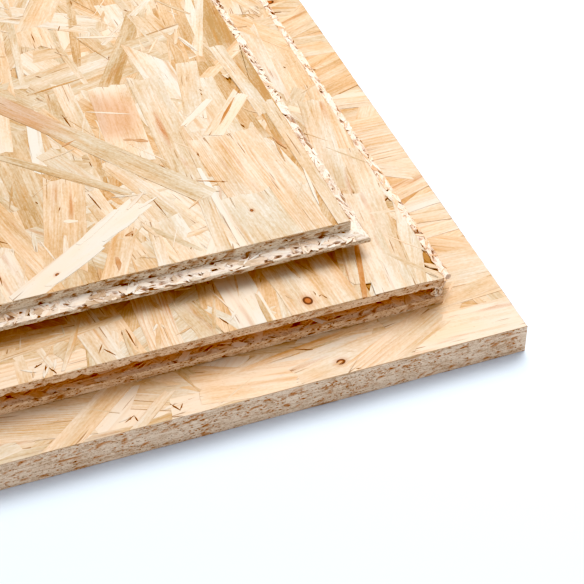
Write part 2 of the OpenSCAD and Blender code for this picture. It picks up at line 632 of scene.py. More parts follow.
@dataclass(frozen=True)
class Strand:
    """One strand in a face. Its place is from the face's front right corner, in metres."""

    x: float
    y: float
    length: float
    width: float
    turn: float
    look: tuple
    knot: tuple = (0.0, 0.0, 0.0)
    slant: float = 0.0
    rough: float = 4.0 * MM
    lift: float = 0.0

    def outline(self, rng: np.random.Generator) -> np.ndarray:
        """Corners of the strand round its own middle: split sides and ragged ends.

        Args:
            rng: where the raggedness comes from.

        Returns:
            N by 2 places, along and across the grain, anticlockwise.
        """
        half_l, half_w = self.length / 2, self.width / 2
        teeth = int(np.clip(round(self.width / (3.5 * MM)), 1, 6))
        side_points = 2 if self.length > 30 * MM else 1
        blunt = min(1.0, 0.2 + self.width / (12 * MM))
        corners = []
        for end in (1, -1):
            across = np.linspace(-half_w, half_w, teeth + 1) * end * blunt
            across[1:-1] += rng.uniform(-0.35, 0.35, teeth - 1) * self.width / teeth
            depth = rng.uniform(0, 1, teeth + 1) ** 2.2 * self.rough
            lean = self.slant + rng.normal(0, 0.15)
            for v, short in zip(across, depth):
                corners.append((end * (half_l - short) + lean * v, v))
            wander = min(1.0, self.width / (12 * MM)) * MM
            for number in range(side_points):
                part = (0.35, -0.3)[number] if side_points == 2 else 0.0
                step = end * (half_w + rng.uniform(-0.7, 0.3) * wander)
                corners.append((end * half_l * (part + rng.uniform(-0.2, 0.2)), step))
        return np.array(corners)


def clip_to(points: np.ndarray, low: tuple, high: tuple) -> np.ndarray:
    """Cuts an outline to a rectangle.

    Args:
        points: the outline's corners, in order.
        low: the rectangle's lowest corner.
        high: its highest corner.

    Returns:
        The corners that are left, or an empty array.
    """
    for axis, limit, sign in ((0, low[0], 1), (0, high[0], -1), (1, low[1], 1), (1, high[1], -1)):
        if not len(points):
            return points
        inside = (points[:, axis] - limit) * sign
        if inside.min() >= 0:
            continue
        kept = []
        for i in range(len(points)):
            j = (i + 1) % len(points)
            if inside[i] >= 0:
                kept.append(points[i])
            if (inside[i] >= 0) != (inside[j] >= 0):
                part = inside[i] / (inside[i] - inside[j])
                kept.append(points[i] + part * (points[j] - points[i]))
        points = np.array(kept)
    return points


@dataclass(frozen=True)
class Plane:
    """A flat stretch of a panel's skin: its own two directions, and the way out of the wood."""

    origin: tuple
    right: tuple
    ahead: tuple
    out: tuple

    def place(self, flat: np.ndarray, height: np.ndarray) -> np.ndarray:
        """Turns places and heights on the plane into places in the frame."""
        spots = np.array(self.origin) + flat[:, :1] * np.array(self.right)
        return spots + flat[:, 1:] * np.array(self.ahead) + height[:, None] * np.array(self.out)

    def turned_over(self) -> bool:
        """Whether an outline that runs anticlockwise here faces into the wood."""
        return float(np.dot(np.cross(self.right, self.ahead), self.out)) < 0


@dataclass(frozen=True)
class StrandMix:
    """How the strands of one stretch of skin are cut and laid."""

    lengths: tuple
    widths: tuple
    heading: float
    spread: float
    first_layer: tuple | None
    scattered: tuple
    thickness: float = 0.3 * MM
    ease: float = 0.5 * MM
    shade: float = 0.60
    contrast: float = 0.22
    warmth: float = 0.45
    rough: tuple = (0.5 * MM, 6.0 * MM)
    knots: float = 0.012
    # cracks: share of strands laid as dark plates of painted gap shade.
    cracks: float = 0.0
    gather: float = 0.0
    lift: float = 0.0


@dataclass
class StrandMat:
    """The strands in one stretch of a panel's skin."""

    name: str
    plane: Plane
    low: tuple
    high: tuple
    mix: StrandMix
    seed: int
    margin: float | None = None
    named: tuple = ()
    skin: float = 0.8 * MM
    maker: MeshMaker | None = None

    def __post_init__(self) -> None:
        """Sets up the grid that remembers how high the strands are piled."""
        self.rng = np.random.default_rng(self.seed)
        self.cell = min(3 * MM, (self.high[1] - self.low[1]) / 4)
        across = int((self.high[0] - self.low[0]) / self.cell) + 2
        along = int((self.high[1] - self.low[1]) / self.cell) + 2
        self.piled = np.zeros((across, along), int)
        self.maker = self.maker or MeshMaker(self.name)

    def in_zone(self, x: float, y: float) -> bool:
        """Whether a strand's middle may lie here: anywhere, or only near the edges of a hidden face."""
        if self.margin is None:
            return True
        near = min(x - self.low[0], self.high[0] - x, y - self.low[1], self.high[1] - y)
        return near < self.margin

    def pile(self, x: float, y: float, strand: Strand) -> int:
        """Finds how many strands lie under this one, and adds it to the pile."""
        cos, sin = math.cos(strand.turn), math.sin(strand.turn)
        reach_x = (abs(cos) * strand.length + abs(sin) * strand.width) / 2
        reach_y = (abs(sin) * strand.length + abs(cos) * strand.width) / 2
        shape, cell = self.piled.shape, self.cell
        i0 = int(np.clip((x - reach_x - self.low[0]) / cell, 0, shape[0] - 1))
        i1 = int(np.clip((x + reach_x - self.low[0]) / cell, 0, shape[0] - 1)) + 1
        j0 = int(np.clip((y - reach_y - self.low[1]) / cell, 0, shape[1] - 1))
        j1 = int(np.clip((y + reach_y - self.low[1]) / cell, 0, shape[1] - 1)) + 1
        gx = (np.arange(i0, i1) + 0.5) * cell + self.low[0] - x
        gy = (np.arange(j0, j1) + 0.5) * cell + self.low[1] - y
        gx, gy = np.meshgrid(gx, gy, indexing="ij")
        under = np.abs(gx * cos + gy * sin) < strand.length / 2 + cell * 0.75
        under &= np.abs(gy * cos - gx * sin) < strand.width / 2 + cell * 0.75
        patch = self.piled[i0:i1, j0:j1]
        count = int(patch[under].max()) + 1 if under.any() else 1
        patch[under] = count
        return count

    def lay(self, strand: Strand) -> None:
        """Puts one strand on the pile and makes its mesh."""
        x, y = self.high[0] + strand.x, self.low[1] + strand.y
        outline = strand.outline(self.rng)
        cos, sin = math.cos(strand.turn), math.sin(strand.turn)
        turn = np.array(((cos, sin), (-sin, cos)))
        flat = clip_to(outline @ turn + (x, y), self.low, self.high)
        if len(flat) < 3:
            return
        self.add_plate(flat, np.array((x, y)), turn, self.pile(x, y, strand), strand)

    def add_plate(
        self, flat: np.ndarray, middle: np.ndarray, turn: np.ndarray, count: int, strand: Strand
    ) -> None:
        """Makes a thin plate with eased edges from a strand's outline.

        Args:
            flat: the outline on the plane.
            middle: the strand's middle on the plane.
            turn: matrix whose rows are the strand's own directions.
            count: how many strands the pile holds here, this one included.
            strand: the strand.
        """
        way = np.roll(flat, -1, axis=0) - np.roll(flat, 1, axis=0)
        length = np.maximum(np.linalg.norm(way, axis=1, keepdims=True), 1e-9)
        inward = np.stack((-way[:, 1], way[:, 0]), axis=1) / length
        from_border = np.minimum(np.abs(flat - self.low), np.abs(flat - self.high)).min(axis=1)
        open_side = np.where(from_border < 0.001 * MM, 0.0, 1.0)
        set_back = SET_BACK_STEP * count + SET_BACK_LIFT * strand.lift
        flat = np.clip(flat, np.array(self.low) + set_back, np.array(self.high) - set_back)
        top = flat + inward * (min(self.mix.ease, strand.width * 0.12) * open_side[:, None])
        own = (np.concatenate((top, flat)) - middle) @ turn.T
        size = len(flat)
        rise, tilt = self.lie(count, strand)
        height = rise + tilt[0] * own[:, 0] / (strand.length / 2) + tilt[1] * own[:, 1] / (strand.width / 2)
        height[size:] -= self.mix.thickness + strand.lift
        points = self.plane.place(np.concatenate((top, flat)), height)
        faces = [list(range(size)), list(range(2 * size - 1, size - 1, -1))]
        for i in range(size):
            j = (i + 1) % size
            faces.append((i, size + i, size + j, j))
        if self.plane.turned_over():
            faces = [list(reversed(face)) for face in faces]
        seed = self.rng.uniform(0, 60)
        grain = [(u, v, seed) for u, v in own]
        knot_u, knot_v, knot_r = strand.knot
        if knot_r:
            strength = 0.5 if knot_r > STAIN_R else 1.0
            knot = [((u - knot_u) / knot_r, (v - knot_v) / knot_r, strength) for u, v in own]
        else:
            knot = [NO_KNOT] * (2 * size)
        half = strand.length / 2
        # Open edges are painted dark, most across the grain at the ends: painted shade of the crevice
        # beside each strand.
        dark = open_side * (0.55 + 0.45 * np.abs(inward @ turn.T[:, 0]))
        rim = [(0.0, half, 0.0)] * size + [(part, half, 0.0) for part in dark]
        self.maker.add(
            points.tolist(), faces, grain=grain, knot=knot, rim=rim, tone=[strand.look] * (2 * size)
        )

    def lie(self, count: int, strand: Strand) -> tuple:
        """How high a strand lies over the plane, and how far it tilts along and across its grain."""
        rng = self.rng
        raised = strand.lift > 0
        depth = min(self.skin, LAID_SKIN) if raised else self.skin
        rise = strand.lift - depth * math.exp(-count / FULL_PILE)
        loose = 0.09 if rng.random() < 0.25 else 0.02
        if raised:
            loose = 0.02 if self.mix.lift else 0.003
        tilt = rng.normal(0, loose * MM, 2)
        if not raised:
            tilt *= min(1.0, -0.97 * rise / np.abs(tilt).sum())
        return rise, tilt

    def chance_look(self) -> tuple:
        """A tone for a strand that isn't listed one by one."""
        rng = self.rng
        if rng.random() < self.mix.cracks:
            return Look.CRACK.value
        shade = float(np.clip(rng.normal(self.mix.shade, self.mix.contrast), 0.2, 1.15))
        warmth = float(np.clip(rng.normal(self.mix.warmth, 0.28), 0.0, 1.0))
        rings = float(rng.uniform(0.4, 1.0) if rng.random() < 0.55 else rng.uniform(0.0, 0.35))
        return (shade, warmth, rings)

    def chance_strand(self, x: float, y: float, size: float = 1.0) -> Strand:
        """A strand of chance size, heading and tone with its middle at a place on the plane."""
        rng, mix = self.rng, self.mix
        least, usual, most = mix.widths
        width = float(np.clip(rng.lognormal(math.log(usual), 0.5), least, most)) * size
        least, usual, most = mix.lengths
        length = float(np.clip(rng.normal(usual, usual * 0.3), least, most)) * size ** 0.7
        spread = mix.spread if rng.random() < 0.75 else 60
        turn = math.radians(mix.heading + rng.normal(0, spread))
        knot = (0.0, 0.0, 0.0)
        if rng.random() < mix.knots:
            along, across = rng.uniform(-0.3, 0.3) * length, rng.uniform(-0.2, 0.2) * width
            knot = (along, across, rng.uniform(1.0, 2.6) * MM)
        look = self.chance_look()
        if look == Look.CRACK.value:
            length, width = length * 0.4, min(width, 0.8 * MM)
            turn = turn * 0.5 + math.radians(mix.heading) * 0.5
        return Strand(
            x - self.high[0], y - self.low[1], length, width, turn, look, knot,
            slant=rng.normal(0, 0.4), rough=min(rng.uniform(*mix.rough), length * 0.25), lift=mix.lift,
        )

    def lay_all(self) -> None:
        """Lays the even first layer, the scattered ones and then the named strands."""
        rng, mix = self.rng, self.mix
        wide, deep = self.high[0] - self.low[0], self.high[1] - self.low[1]
        if mix.first_layer:
            along_y = abs(math.sin(math.radians(mix.heading))) > 0.5
            step_x, step_y = mix.first_layer[::-1] if along_y else mix.first_layer
            places = []
            for i, j in itertools.product(range(int(wide / step_x) + 2), range(int(deep / step_y) + 2)):
                shift = rng.uniform(0, 1, 2)
                x = self.low[0] + (i - 0.5 + 0.7 * shift[0]) * step_x
                y = self.low[1] + (j - 0.5 + 0.7 * shift[1] + 0.5 * (i % 2)) * step_y
                places.append((x, y))
            for number in rng.permutation(len(places)):
                if self.in_zone(*places[number]):
                    self.lay(self.chance_strand(*places[number], 1.4))
        for size, per_area in mix.scattered:
            number = int(wide * deep * per_area)
            spots = rng.uniform((0, 0), (wide, deep), (number, 2)) + self.low
            spots = np.column_stack((spots, np.zeros(number)))
            if mix.gather:
                crowd = lattice_noise(spots / mix.gather, self.seed)
                spots = spots[crowd > rng.uniform(-0.7, 0.3, number)]
            for x, y, _ in spots:
                if self.in_zone(x, y):
                    self.lay(self.chance_strand(x, y, size))
        for strand in self.named:
            self.lay(strand)

    def build(self, material: bpy.types.Material, slot: str) -> bpy.types.Object:
        """Lays the strands and makes their object."""
        self.lay_all()
        return finish_piece(self.maker, [material])


def finish_piece(maker: MeshMaker, materials: list) -> bpy.types.Object:
    """Makes a piece's object, sets it on the frame and logs its size."""
    made = maker.make(materials)
    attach(made, "root")
    log.info("%s: %d triangles", maker.name, sum(len(face) - 2 for face in maker.faces))
    return made


def face_mix(heading: float, density: float) -> StrandMix:
    """The strands of a panel's face.

    Args:
        heading: the way most of them run, in degrees from +X.
        density: how many there are, as a share of a dense face.

    Returns:
        Their mix.
    """
    pitch = 1 / math.sqrt(density)
    return StrandMix(
        lengths=(45 * MM, 98 * MM, 155 * MM), widths=(3.5 * MM, 13.5 * MM, 42 * MM),
        heading=heading, spread=19, first_layer=(60 * MM * pitch, 11.5 * MM * pitch),
        scattered=((0.95, 640 * density), (0.4, 420 * density)),
    )


SPLINTER_MIX = StrandMix(
    lengths=(6 * MM, 24 * MM, 62 * MM), widths=(0.8 * MM, 1.8 * MM, 3.6 * MM), heading=90, spread=30,
    first_layer=None, scattered=((1.0, 1300),), thickness=0.2 * MM, ease=0.25 * MM, shade=0.66,
    contrast=0.36, warmth=0.6, rough=(1.0 * MM, 6.0 * MM), knots=0.0, cracks=0.2,
    gather=45 * MM, lift=0.2 * MM,
)
FLAKE_MIX = replace(
    SPLINTER_MIX, lengths=(3 * MM, 8 * MM, 16 * MM), widths=(0.6 * MM, 1.5 * MM, 4 * MM), spread=48,
    scattered=((1.0, 1500),), shade=0.64, rough=(0.5 * MM, 3.0 * MM), cracks=0.18, gather=28 * MM,
)
CHIP_MIX = StrandMix(
    lengths=(3 * MM, 8 * MM, 18 * MM), widths=(1.0 * MM, 2.2 * MM, 4.5 * MM), heading=12, spread=35,
    first_layer=None, scattered=(), thickness=0.14 * MM, ease=0.12 * MM, shade=0.68,
    contrast=0.42, rough=(0.5 * MM, 2.0 * MM), knots=0.0, cracks=0.2, lift=0.12 * MM,
)
GROOVE_CHIP_MIX = replace(
    CHIP_MIX, lengths=(6 * MM, 14 * MM, 26 * MM), widths=(1.5 * MM, 3.2 * MM, 6 * MM), heading=-28,
    shade=0.62, warmth=1.0, contrast=0.28,
)

# Added to a panel's seed for its lower face, its loose splinters, its chips and its torn groove.
LOWER_SEED, LOOSE_SEED, CHIP_SEED, TORN_SEED = 50, 70, 100, 120

# For each way of cutting an edge: how deep its pits are, and how rare.
WEAR = {
    EdgeKind.SQUARE: (0.35 * MM, 0.38),
    EdgeKind.TONGUE: (1.2 * MM, 0.26),
    EdgeKind.GROOVE: (0.7 * MM, 0.36),
}
CHIPS_PER_AREA = {Side.FRONT: 110000, Side.RIGHT: 60000, Side.BACK: 60000, Side.LEFT: 60000}


@dataclass
class Panel:
    """One panel: its core with four cut edges, and the strands in both faces."""

    node: str
    slot: str
    profile: EdgeProfile
    edges: dict
    heading: float
    seed: int
    strand_finish: StrandFinish
    edge_finish: EdgeFinish
    chip_finish: StrandFinish | None = None
    named: tuple = ()
    whole_top: bool = False
    whole_under: bool = False
    torn_end: bool = False
    splinters: float = 1.0
    upper_margin: float = 75 * MM
    lower_margin: float = 60 * MM
    column: float = 2.0 * MM
    long_column: float = 3.1 * MM
    skin: float = 0.8 * MM
    arris: float = 0.12 * MM
    arris_w: float = 0.3 * MM
    step: float = 0.05 * MM
    lip: float = 4 * MM
    chips_from: float = 4 * MM
    groove_ends: float = 10 * MM
    torn_l: float = 16 * MM
    torn_pieces: int = 90

    def __post_init__(self) -> None:
        """Reads the panel's place from the frame and finds its shoulders."""
        low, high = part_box(self.node)
        tongue = self.profile.tongue_l
        out = {side: tongue if kind is EdgeKind.TONGUE else 0.0 for side, kind in self.edges.items()}
        self.low = (low.x + out[Side.LEFT], low.y + out[Side.FRONT])
        self.high = (high.x - out[Side.RIGHT], high.y - out[Side.BACK])
        self.under, self.over = low.z, high.z
        self.middle = (low.z + high.z) / 2

    def ring(self, off: float) -> tuple:
        """Lowest and highest corner of the panel's outline at a height off its middle."""
        reach = {side: self.profile.reach(kind, off) for side, kind in self.edges.items()}
        low = (self.low[0] - reach[Side.LEFT], self.low[1] - reach[Side.FRONT])
        high = (self.high[0] + reach[Side.RIGHT], self.high[1] + reach[Side.BACK])
        return low, high

    def core(self, edge: bpy.types.Material, gap: bpy.types.Material) -> bpy.types.Object:
        """Makes the panel's core: rings of points round its edges, and two plain faces."""
        half = (self.over - self.under) / 2
        milled = any(kind is not EdgeKind.SQUARE for kind in self.edges.values())
        rows = self.profile.heights(half - self.arris, milled)
        rows = [self.skin - half, *rows, half - self.skin]
        across = round((self.high[0] - self.low[0]) / self.column)
        along = round((self.high[1] - self.low[1]) / self.long_column)
        counts = [across, along, across, along]
        points, place, depth = [], [], []
        travel = {side: 0.0 for side in Side}
        last = {side: None for side in Side}
        for off in rows:
            low, high = self.ring(off)
            lid = off in (rows[0], rows[-1])
            if lid:
                low = tuple(value + self.arris_w for value in low)
                high = tuple(value - self.arris_w for value in high)
            corners = (low, (high[0], low[1]), high, (low[0], high[1]))
            for number, side in enumerate(Side):
                start, end = np.array(corners[number]), np.array(corners[(number + 1) % 4])
                part = np.linspace(0, 1, counts[number], endpoint=False)[:, None]
                part[-1] = 1 - self.arris / np.linalg.norm(end - start)
                line = start + part * (end - start)
                reach = self.profile.reach(self.edges[side], off)
                if last[side] is not None:
                    travel[side] += math.hypot(off - last[side][0], reach - last[side][1])
                last[side] = (off, reach)
                slope = self.profile.reach(self.edges[side], off + self.step)
                slope -= self.profile.reach(self.edges[side], off - self.step)
                tilt = math.atan2(-slope, 2 * self.step)
                level = math.cos(tilt)
                normal = np.array((side.value[0] * level, side.value[1] * level, math.sin(tilt)))
                spots = np.column_stack((line, np.full(len(line), self.middle + off)))
                inset, dark = self.wear(spots, travel[side], side)
                inset[0] = 0
                if not lid:
                    spots = spots - normal * inset[:, None]
                points.append(spots)
                lip = off < 0 and -self.lip < reach < 0
                share = (0.6 if lip else 1.0) * min(1.0, abs(reach) / (0.8 * MM))
                # The pale tongue tint fades out on the nose, which keeps the darker edge colour: painted
                # shade of the front of the tongue.
                if reach > 0:
                    out = np.array(reach / self.profile.tongue_l)
                    share *= 1 - 0.85 * float(smooth_step(0.82, 0.97, out))
                beyond = (spots[:, :2] > self.high) | (spots[:, :2] < self.low)
                pale = np.any(beyond, axis=1) | (reach > 0 or lip)
                # Marks: painted shade of the pits, share of pale tongue tint and share of groove colour.
                marks = (dark, np.where(pale, share, 0.0), np.where(pale, 0.0, share))
                depth.append(np.column_stack(marks))
                run = spots[:, 0] if side.value[0] == 0 else spots[:, 1]
                every = np.ones(len(run))
                place.append(np.column_stack((run, every * travel[side], every * number * 5.0)))
        around = sum(counts)
        maker = MeshMaker(f"{self.node}_core")
        size = len(rows)
        faces = []
        for r in range(size - 1):
            for c in range(around):
                d = (c + 1) % around
                faces.append((r * around + c, r * around + d, (r + 1) * around + d, (r + 1) * around + c))
        points, place, rim = (np.concatenate(rings).tolist() for rings in (points, place, depth))
        maker.add(points, faces, grain=place, rim=rim)
        # The two lids take the second material, the painted shade of the gaps between strands.
        maker.faces.append(list(range((size - 1) * around, size * around)))
        maker.faces.append(list(range(around - 1, -1, -1)))
        maker.finish += [1, 1]
        made = finish_piece(maker, [edge, gap])
        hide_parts(self.node)
        return made

    def wear(self, spots: np.ndarray, travel: float, side: Side) -> tuple:
        """How far the cut is torn in at places along one row of an edge.

        Args:
            spots: the row's places.
            travel: way up the edge's profile to this row.
            side: which edge it is.

        Returns:
            Depth in metres and darkness from 0 to 1, for each place; the darkness is painted shade in the
            pits.
        """
        run = spots[:, 0] if side.value[0] == 0 else spots[:, 1]
        seed = self.seed * 10 + list(Side).index(side)
        flat = np.column_stack((run, np.full(len(run), travel), np.zeros(len(run))))
        coarse = lattice_noise(flat / (5.0 * MM, 1.6 * MM, 1), seed)
        fine = lattice_noise(flat / (2.6 * MM, 0.9 * MM, 1) + 40, seed + 1)
        deep, rare = WEAR[self.edges[side]]
        pit = smooth_step(rare, rare + 0.3, fine * 0.8 + coarse * 0.35)
        from_corner = np.minimum(run - run.min(), run.max() - run)
        pit = pit * smooth_step(0, 8 * MM, from_corner)
        inset = 0.05 * MM * coarse + 0.06 * MM * fine + pit * deep
        return inset, pit * 0.8

    def build(self, grain: bpy.types.NodeTree, sawn: bpy.types.NodeTree) -> None:
        """Makes the panel's pieces."""
        strands = self.strand_finish.build(grain)
        chips = self.chip_finish.build(grain) if self.chip_finish else strands
        edge = self.edge_finish.build(sawn)
        # The core's faces under the strands, seen through gaps between them, are dark brown: painted shade
        # of those gaps.
        under = EdgeFinish(
            f"{self.node}_shaded_under_layer", light=(0.52, 0.31, 0.15, 1), dark=(0.26, 0.12, 0.045, 1),
            pit=(0.16, 0.06, 0.02, 1), pits=0.3,
        ).build(sawn)
        self.core(edge, under)
        flat = {"right": (1, 0, 0), "ahead": (0, 1, 0)}
        upper = StrandMat(
            f"{self.node}_upper_strands", Plane((0, 0, self.over), out=(0, 0, 1), **flat),
            self.low, self.high, face_mix(self.heading, 1.0), self.seed,
            None if self.whole_top else self.upper_margin, named=self.named,
        )
        upper.build(strands, self.slot)
        splinters = MeshMaker(f"{self.node}_splinters")
        for number, mix in enumerate((SPLINTER_MIX, FLAKE_MIX)):
            size, per_area = mix.scattered[0]
            mix = replace(mix, heading=self.heading, scattered=((size, per_area * self.splinters),))
            StrandMat(
                splinters.name, upper.plane, self.low, self.high, mix,
                self.seed + LOOSE_SEED + number, upper.margin, skin=0.04 * MM, maker=splinters,
            ).lay_all()
        finish_piece(splinters, [strands])
        lower = StrandMat(
            f"{self.node}_lower_strands", Plane((0, 0, self.under), out=(0, 0, -1), **flat),
            self.low, self.high, face_mix(self.heading, 0.6), self.seed + LOWER_SEED,
            None if self.whole_under else self.lower_margin,
        )
        lower.build(strands, self.slot)
        if any(kind is EdgeKind.TONGUE for kind in self.edges.values()):
            self.chips(chips)

    def chips(self, finish: bpy.types.Material) -> None:
        """Makes the cut ends of strands that stand out of the tongues and lie in the grooves."""
        maker = MeshMaker(f"{self.node}_edge_chips")
        profile = self.profile
        for number, (side, kind) in enumerate(self.edges.items()):
            if kind is EdgeKind.TONGUE:
                root, nose, out = profile.tongue_root_t / 2, profile.tongue_nose_t / 2, profile.tongue_l
            else:
                root = profile.tongue_root_t / 2 + profile.side_gap
                nose = profile.tongue_nose_t / 2 + profile.side_gap
                out = -(profile.tongue_l + profile.end_gap)
            way = side.value
            run = (1, 0, 0) if way[0] == 0 else (0, 1, 0)
            axis = 0 if way[0] == 0 else 1
            beyond = self.edges[Side.RIGHT if axis == 0 else Side.BACK]
            low = self.low[axis] + self.chips_from
            high = self.high[axis] - (self.groove_ends if beyond is EdgeKind.GROOVE else 0)
            at = self.high if way[0] + way[1] > 0 else self.low
            across = 1 - axis
            for up in (1, -1):
                slope = math.hypot(out, root - nose)
                ahead = np.array((way[0] * out, way[1] * out, -up * (root - nose))) / slope
                normal = np.cross(run, ahead)
                if normal[2] * up * (1 if out > 0 else -1) < 0:
                    normal = -normal
                origin = np.zeros(3)
                origin[across] = at[across]
                origin[2] = self.middle + up * root
                plane = Plane(tuple(origin), run, tuple(ahead), tuple(normal))
                seen = (up > 0) == (kind is EdgeKind.TONGUE) and side in (Side.FRONT, Side.RIGHT)
                share = (1.0 if kind is EdgeKind.TONGUE else 0.25) if seen else 0.12
                mix = CHIP_MIX if kind is EdgeKind.TONGUE else GROOVE_CHIP_MIX
                mix = replace(mix, scattered=((1.0, CHIPS_PER_AREA[side] * share),))
                StrandMat(
                    maker.name, plane, (low, 0.3 * MM), (high, slope - 0.1 * MM),
                    mix, self.seed + CHIP_SEED + number * 2 + up, skin=0.12 * MM, maker=maker,
                ).lay_all()
        if self.torn_end:
            self.tear(maker)
        finish_piece(maker, [finish])

    def tear(self, maker: MeshMaker) -> None:
        """Adds the torn wood that fills the right end of the front groove."""
        rng = np.random.default_rng(self.seed + TORN_SEED)
        torn = []
        for _ in range(self.torn_pieces):
            x, y = -abs(rng.normal(0, 3.4)) * MM, rng.uniform(1.3, 9.1) * MM
            length, width = rng.uniform(1.5, 5.0) * MM, rng.uniform(0.7, 1.8) * MM
            # Pieces of shade below zero take part of the painted gap shade.
            shade = float(np.clip(rng.normal(0.75, 0.4), -0.3, 1.1))
            turn = rng.uniform(-1.2, 1.6)
            torn.append(Strand(x, y, length, width, turn, (shade, rng.uniform(0.2, 1.0), 0.3)))
        origin = (0, self.low[1] + 0.4 * MM, self.middle)
        plane = Plane(origin, right=(1, 0, 0), ahead=(0, 0, 1), out=(0, -1, 0))
        StrandMat(
            maker.name, plane, (self.high[0] - self.torn_l, -5.5 * MM), (self.high[0], 4.2 * MM),
            CHIP_MIX, self.seed + TORN_SEED, named=tuple(torn), skin=5 * MM, maker=maker,
        ).lay_all()


# ---- Studio ----


@dataclass
class Studio:
    """Floor, lights and camera."""

    corner: tuple
    half: float = 6.0
    lens: float = 108.0
    camera_place: tuple = (-0.3592, -0.608, 0.6552)
    camera_turn: tuple = (41.38, -20.24, 0.19)

    def floor(self) -> None:
        """A wide, plain pale floor."""
        half = self.half
        maker = MeshMaker("floor")
        maker.add([(-half, -half, 0), (half, -half, 0), (half, half, 0), (-half, half, 0)], [(0, 1, 2, 3)])
        made = maker.make([FloorFinish().build()])

    def light(self, name: str, place: tuple, aim: tuple, size: tuple, power: float, colour: tuple) -> None:
        """Adds one soft rectangular light.

        Args:
            name: the light's name.
            place: where it hangs, from the stack's front right corner.
            aim: the place that it faces.
            size: its two sides.
            power: its power in watts.
            colour: its colour.
        """
        data = bpy.data.lights.new(name, "AREA")
        data.shape = "RECTANGLE"
        data.size, data.size_y = size
        data.energy = power
        data.color = colour
        made = bpy.data.objects.new(name, data)
        bpy.context.scene.collection.objects.link(made)
        made.location = Vector(self.corner) + Vector(place)
        way = Vector(self.corner) + Vector(aim) - made.location
        made.rotation_euler = way.to_track_quat("-Z", "Y").to_euler()

    def lights(self) -> None:
        """A bright room with its main light high up behind and to the right."""
        world = bpy.data.worlds.new("studio")
        world.use_nodes = True
        world.node_tree.nodes["Background"].inputs[0].default_value = (0.76, 0.875, 0.975, 1)
        world.node_tree.nodes["Background"].inputs[1].default_value = 0.70
        bpy.context.scene.world = world
        self.light("key", (0.64, 0.92, 1.82), (-0.15, 0.1, 0), (1.5, 1.5), 45, (1.0, 0.955, 0.90))
        self.light("front_fill", (-0.8, -2.4, 0.55), (0, 0, 0), (2.4, 0.8), 11, (0.94, 0.97, 1.0))

    def camera(self) -> None:
        """A long lens that looks down on the front right corner from the front left."""
        data = bpy.data.cameras.new("camera")
        data.lens = self.lens
        data.sensor_width = 36
        data.clip_start = 0.02
        made = bpy.data.objects.new("camera", data)
        bpy.context.scene.collection.objects.link(made)
        made.location = Vector(self.corner) + Vector(self.camera_place)
        down, turn, roll = (math.radians(angle) for angle in self.camera_turn)
        facing = Euler((math.pi / 2 - down, 0, turn)).to_matrix() @ Euler((0, 0, -roll)).to_matrix()
        made.rotation_euler = facing.to_euler()
        bpy.context.scene.camera = made

    def build(self) -> None:
        """Sets the studio up."""
        self.floor()
        self.lights()
        self.camera()
        view = bpy.context.scene.view_settings
        view.view_transform = "Standard"
        view.look = "High Contrast"
        view.exposure = -0.45
        view.use_curve_mapping = True
        view.curve_mapping.black_level = (0.02, 0.076, 0.104)
        view.curve_mapping.update()


def hand_laid(*rows: tuple) -> tuple:
    """Strands listed one by one.

    Args:
        rows: each is x, y, length, width in millimetres, turn in degrees and a look, and may go on
            with a knot's place along and across the strand and its radius.

    Returns:
        The strands, in the order in which they are laid.
    """
    strands = []
    for number, (x, y, length, width, turn, look, *knot) in enumerate(rows):
        place = tuple(value * MM for value in knot) or (0.0, 0.0, 0.0)
        strands.append(
            Strand(
                x * MM, y * MM, length * MM, width * MM, math.radians(turn), look.value, place,
                lift=(0.03 + 0.006 * number) * MM,
            )
        )
    return tuple(strands)


# Strands of the bottom panel near its front right corner.
BOTTOM_STRANDS = hand_laid(
    (-268, 22, 70, 24, 168, Look.STRIPED),
    (-182, 27, 34, 9, 112, Look.TAN),
    (-12, 185, 70, 48, 1, Look.STRIPED),
    (-14, 151, 50, 12, 150, Look.CREAM),
    (-14, 134, 48, 14, 18, Look.STRAW),
    (-20, 116, 50, 9, 8, Look.PALE),
    (-8, 104, 44, 9, 174, Look.CREAM),
    (-16, 92, 46, 10, 5, Look.PINK),
    (-20, 58, 70, 30, 177, Look.CREAM),
    (-30, 36, 90, 12, 8, Look.STRAW),
    (-148, 11, 72, 24, 171, Look.PINK),
    (-96, 1, 72, 14, 176, Look.CREAM),
    (-90, 15, 84, 15, 10, Look.CREAM, -15, -3, 2.0),
    (-117, 27, 92, 5, 8, Look.ORANGE),
    (-30, 13, 70, 28, 178, Look.PINK),
    (-71, 12, 70, 21, 27, Look.STRIPED),
    (-105, 9, 10, 2.2, 12, Look.RED),
    (-103, 9, 7, 1.2, 20, Look.CRACK),
    (-208, 9, 40, 7, 41, Look.CREAM),
    (-238, 17, 84, 15, 41, Look.STRIPED),
    (-222, 9, 10, 3, 15, Look.PALE),
    (-199, 9, 9, 2.5, 20, Look.PALE),
    (-220, 8, 7, 1, 30, Look.CRACK),
    (-217, 7, 5, 0.9, 100, Look.CRACK),
    (-196, 8, 8, 1, 120, Look.CRACK),
    (-193, 7, 6, 0.9, 60, Look.CRACK),
)

